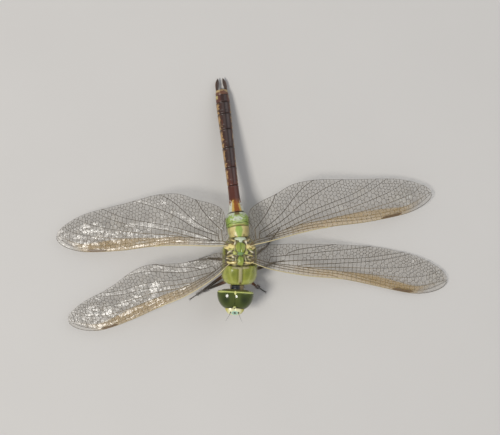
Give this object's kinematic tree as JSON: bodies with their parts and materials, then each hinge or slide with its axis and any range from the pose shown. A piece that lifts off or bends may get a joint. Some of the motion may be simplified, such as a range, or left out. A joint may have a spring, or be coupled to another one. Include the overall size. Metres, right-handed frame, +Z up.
{
  "type": "dragonfly",
  "caption": "Life-size still dragonfly with a green thorax, brown abdomen and clear amber-edged wings spread and drooped, standing on a floor.",
  "frame": {"origin": "middle of the outline seen from above, on the floor", "axes": "+X to the animal's own left, across the wings; +Y from the head to the tail; +Z up"},
  "size_m": [0.1192, 0.0768, 0.0139],
  "materials": {
    "thorax_shell": "satin shell, yellow-green",
    "eye": "gloss, dark olive green",
    "face": "satin, cream to yellow-green",
    "abdomen_green": "satin shell, green and cream",
    "abdomen_brown": "satin shell, red-brown with pale side spots",
    "tail": "satin, dark brown",
    "leg": "satin, near black",
    "wing": "clear membrane with dark veins and an amber front edge"
  },
  "bodies": {
    "root": {"thorax": "thorax_shell", "prothorax": "face", "occiput": "face", "eye_left": "eye", "eye_right": "eye", "frons": "face", "clypeus": "face", "labrum": "face", "labium": "face", "antenna_left": "leg", "antenna_right": "leg", "leg_front_left": "leg", "leg_front_right": "leg", "leg_middle_left": "leg", "leg_middle_right": "leg", "leg_hind_left": "leg", "leg_hind_right": "leg", "abdomen_1": "abdomen_green", "abdomen_2": "abdomen_green", "abdomen_3": "abdomen_brown", "abdomen_4": "abdomen_brown", "abdomen_5": "abdomen_brown", "abdomen_6": "abdomen_brown", "abdomen_7": "abdomen_brown", "abdomen_8": "abdomen_brown", "abdomen_9": "abdomen_brown", "abdomen_10": "abdomen_brown", "cercus_left": "tail", "cercus_right": "tail", "wing_fore_left": "wing", "wing_fore_right": "wing", "wing_hind_left": "wing", "wing_hind_right": "wing"}
  },
  "joints": []
}
